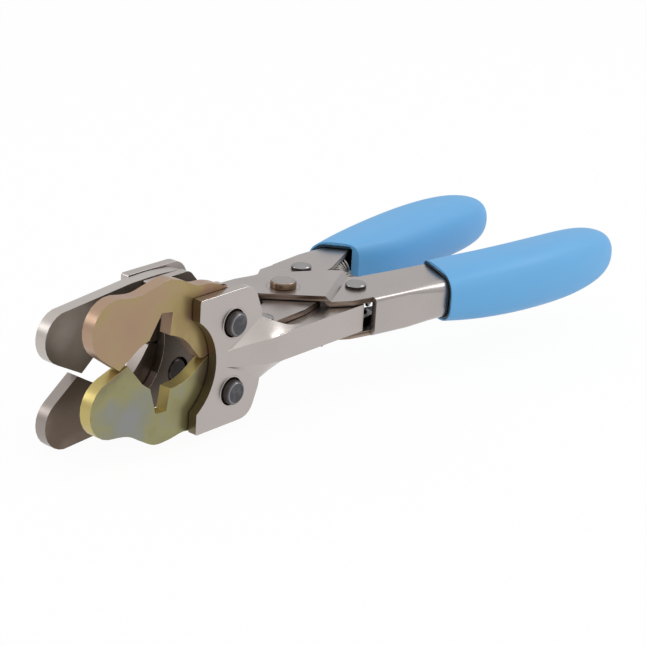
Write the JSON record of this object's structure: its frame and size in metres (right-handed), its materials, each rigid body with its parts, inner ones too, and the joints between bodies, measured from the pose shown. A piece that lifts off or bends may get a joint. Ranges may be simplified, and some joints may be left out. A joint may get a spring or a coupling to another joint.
{
  "type": "fitting removal tool",
  "caption": "Hand tool with crossed channel handles, blue grips and two parallel-closing jaw frames whose hinged keyhole plates clip round a pipe fitting.",
  "frame": {"origin": "centre of the flat top of the main pivot's head", "axes": "+X from the jaws back along the closed tool to the grips, +Y from the near handle to the far handle, +Z along the main pivot, up"},
  "size_m": [0.2566, 0.0831, 0.0596],
  "materials": {
    "plated_steel": "warm nickel plate, satin",
    "blue_grip": "dipped vinyl, satin",
    "dark_pin": "black oxide",
    "tan_jaw": "yellow zinc, tan",
    "yellow_jaw": "yellow zinc, olive",
    "grey_jaw": "yellow zinc, grey brown",
    "brown_jaw": "yellow zinc, in shade",
    "brass_pivot": "yellow zinc",
    "bright_rivet": "bright",
    "spring_steel": "bright wire"
  },
  "bodies": {
    "near_handle": {"near_handle": "plated_steel", "near_grip": "blue_grip", "main_pivot": "brass_pivot", "near_rear_rivet": "bright_rivet", "far_front_rivet": "bright_rivet", "return_spring": "spring_steel"},
    "far_handle": {"far_handle": "plated_steel", "far_grip": "blue_grip", "far_rear_rivet": "bright_rivet", "near_front_rivet": "bright_rivet"},
    "near_jaw": {"near_jaw_frame": "plated_steel", "near_inner_cheek": "plated_steel", "near_upper_pin": "dark_pin", "near_lower_pin": "dark_pin"},
    "far_jaw": {"far_jaw_frame": "plated_steel", "far_inner_cheek": "plated_steel", "far_upper_pin": "dark_pin", "far_lower_pin": "dark_pin"},
    "near_upper_jaw": {"near_upper_jaw": "tan_jaw"},
    "near_lower_jaw": {"near_lower_jaw": "yellow_jaw"},
    "far_upper_jaw": {"far_upper_jaw": "grey_jaw"},
    "far_lower_jaw": {"far_lower_jaw": "brown_jaw"}
  },
  "joints": [
    {"name": "handle_squeeze", "type": "hinge", "parent": "near_handle", "child": "far_handle", "pos_m": [0, 0, 0], "axis": [0, 0, 1], "range_deg": [-14, 0], "stiffness_Nm_per_rad": 2.1, "springref_deg": 20.05, "deforming": ["return_spring"]},
    {"name": "near_jaw_link", "type": "hinge", "parent": "far_handle", "child": "near_jaw", "pos_m": [-0.0243, -0.0127, 0], "axis": [0, 0, 1], "range_deg": [0, 7]},
    {"name": "far_jaw_link", "type": "hinge", "parent": "near_handle", "child": "far_jaw", "pos_m": [-0.0243, 0.0127, 0], "axis": [0, 0, 1], "range_deg": [-7, 0]},
    {"name": "near_upper_jaw_pivot", "type": "hinge", "parent": "near_jaw", "child": "near_upper_jaw", "pos_m": [-0.0446, -0.01205, -0.00052], "axis": [0, 1, 0], "range_deg": [0, 25], "stiffness_Nm_per_rad": 0.08, "springref_deg": -34.38},
    {"name": "near_lower_jaw_pivot", "type": "hinge", "parent": "near_jaw", "child": "near_lower_jaw", "pos_m": [-0.0446, -0.01205, -0.02452], "axis": [0, -1, 0], "range_deg": [0, 25], "stiffness_Nm_per_rad": 0.08, "springref_deg": -34.38},
    {"name": "far_upper_jaw_pivot", "type": "hinge", "parent": "far_jaw", "child": "far_upper_jaw", "pos_m": [-0.0446, 0.01205, -0.00052], "axis": [0, 1, 0], "range_deg": [0, 25], "stiffness_Nm_per_rad": 0.08, "springref_deg": -34.38},
    {"name": "far_lower_jaw_pivot", "type": "hinge", "parent": "far_jaw", "child": "far_lower_jaw", "pos_m": [-0.0446, 0.01205, -0.02452], "axis": [0, -1, 0], "range_deg": [0, 25], "stiffness_Nm_per_rad": 0.08, "springref_deg": -34.38}
  ],
  "couplings": [
    {"joint": "near_jaw_link", "follows": "handle_squeeze", "ratio": -0.5},
    {"joint": "far_jaw_link", "follows": "handle_squeeze", "ratio": 0.5}
  ]
}
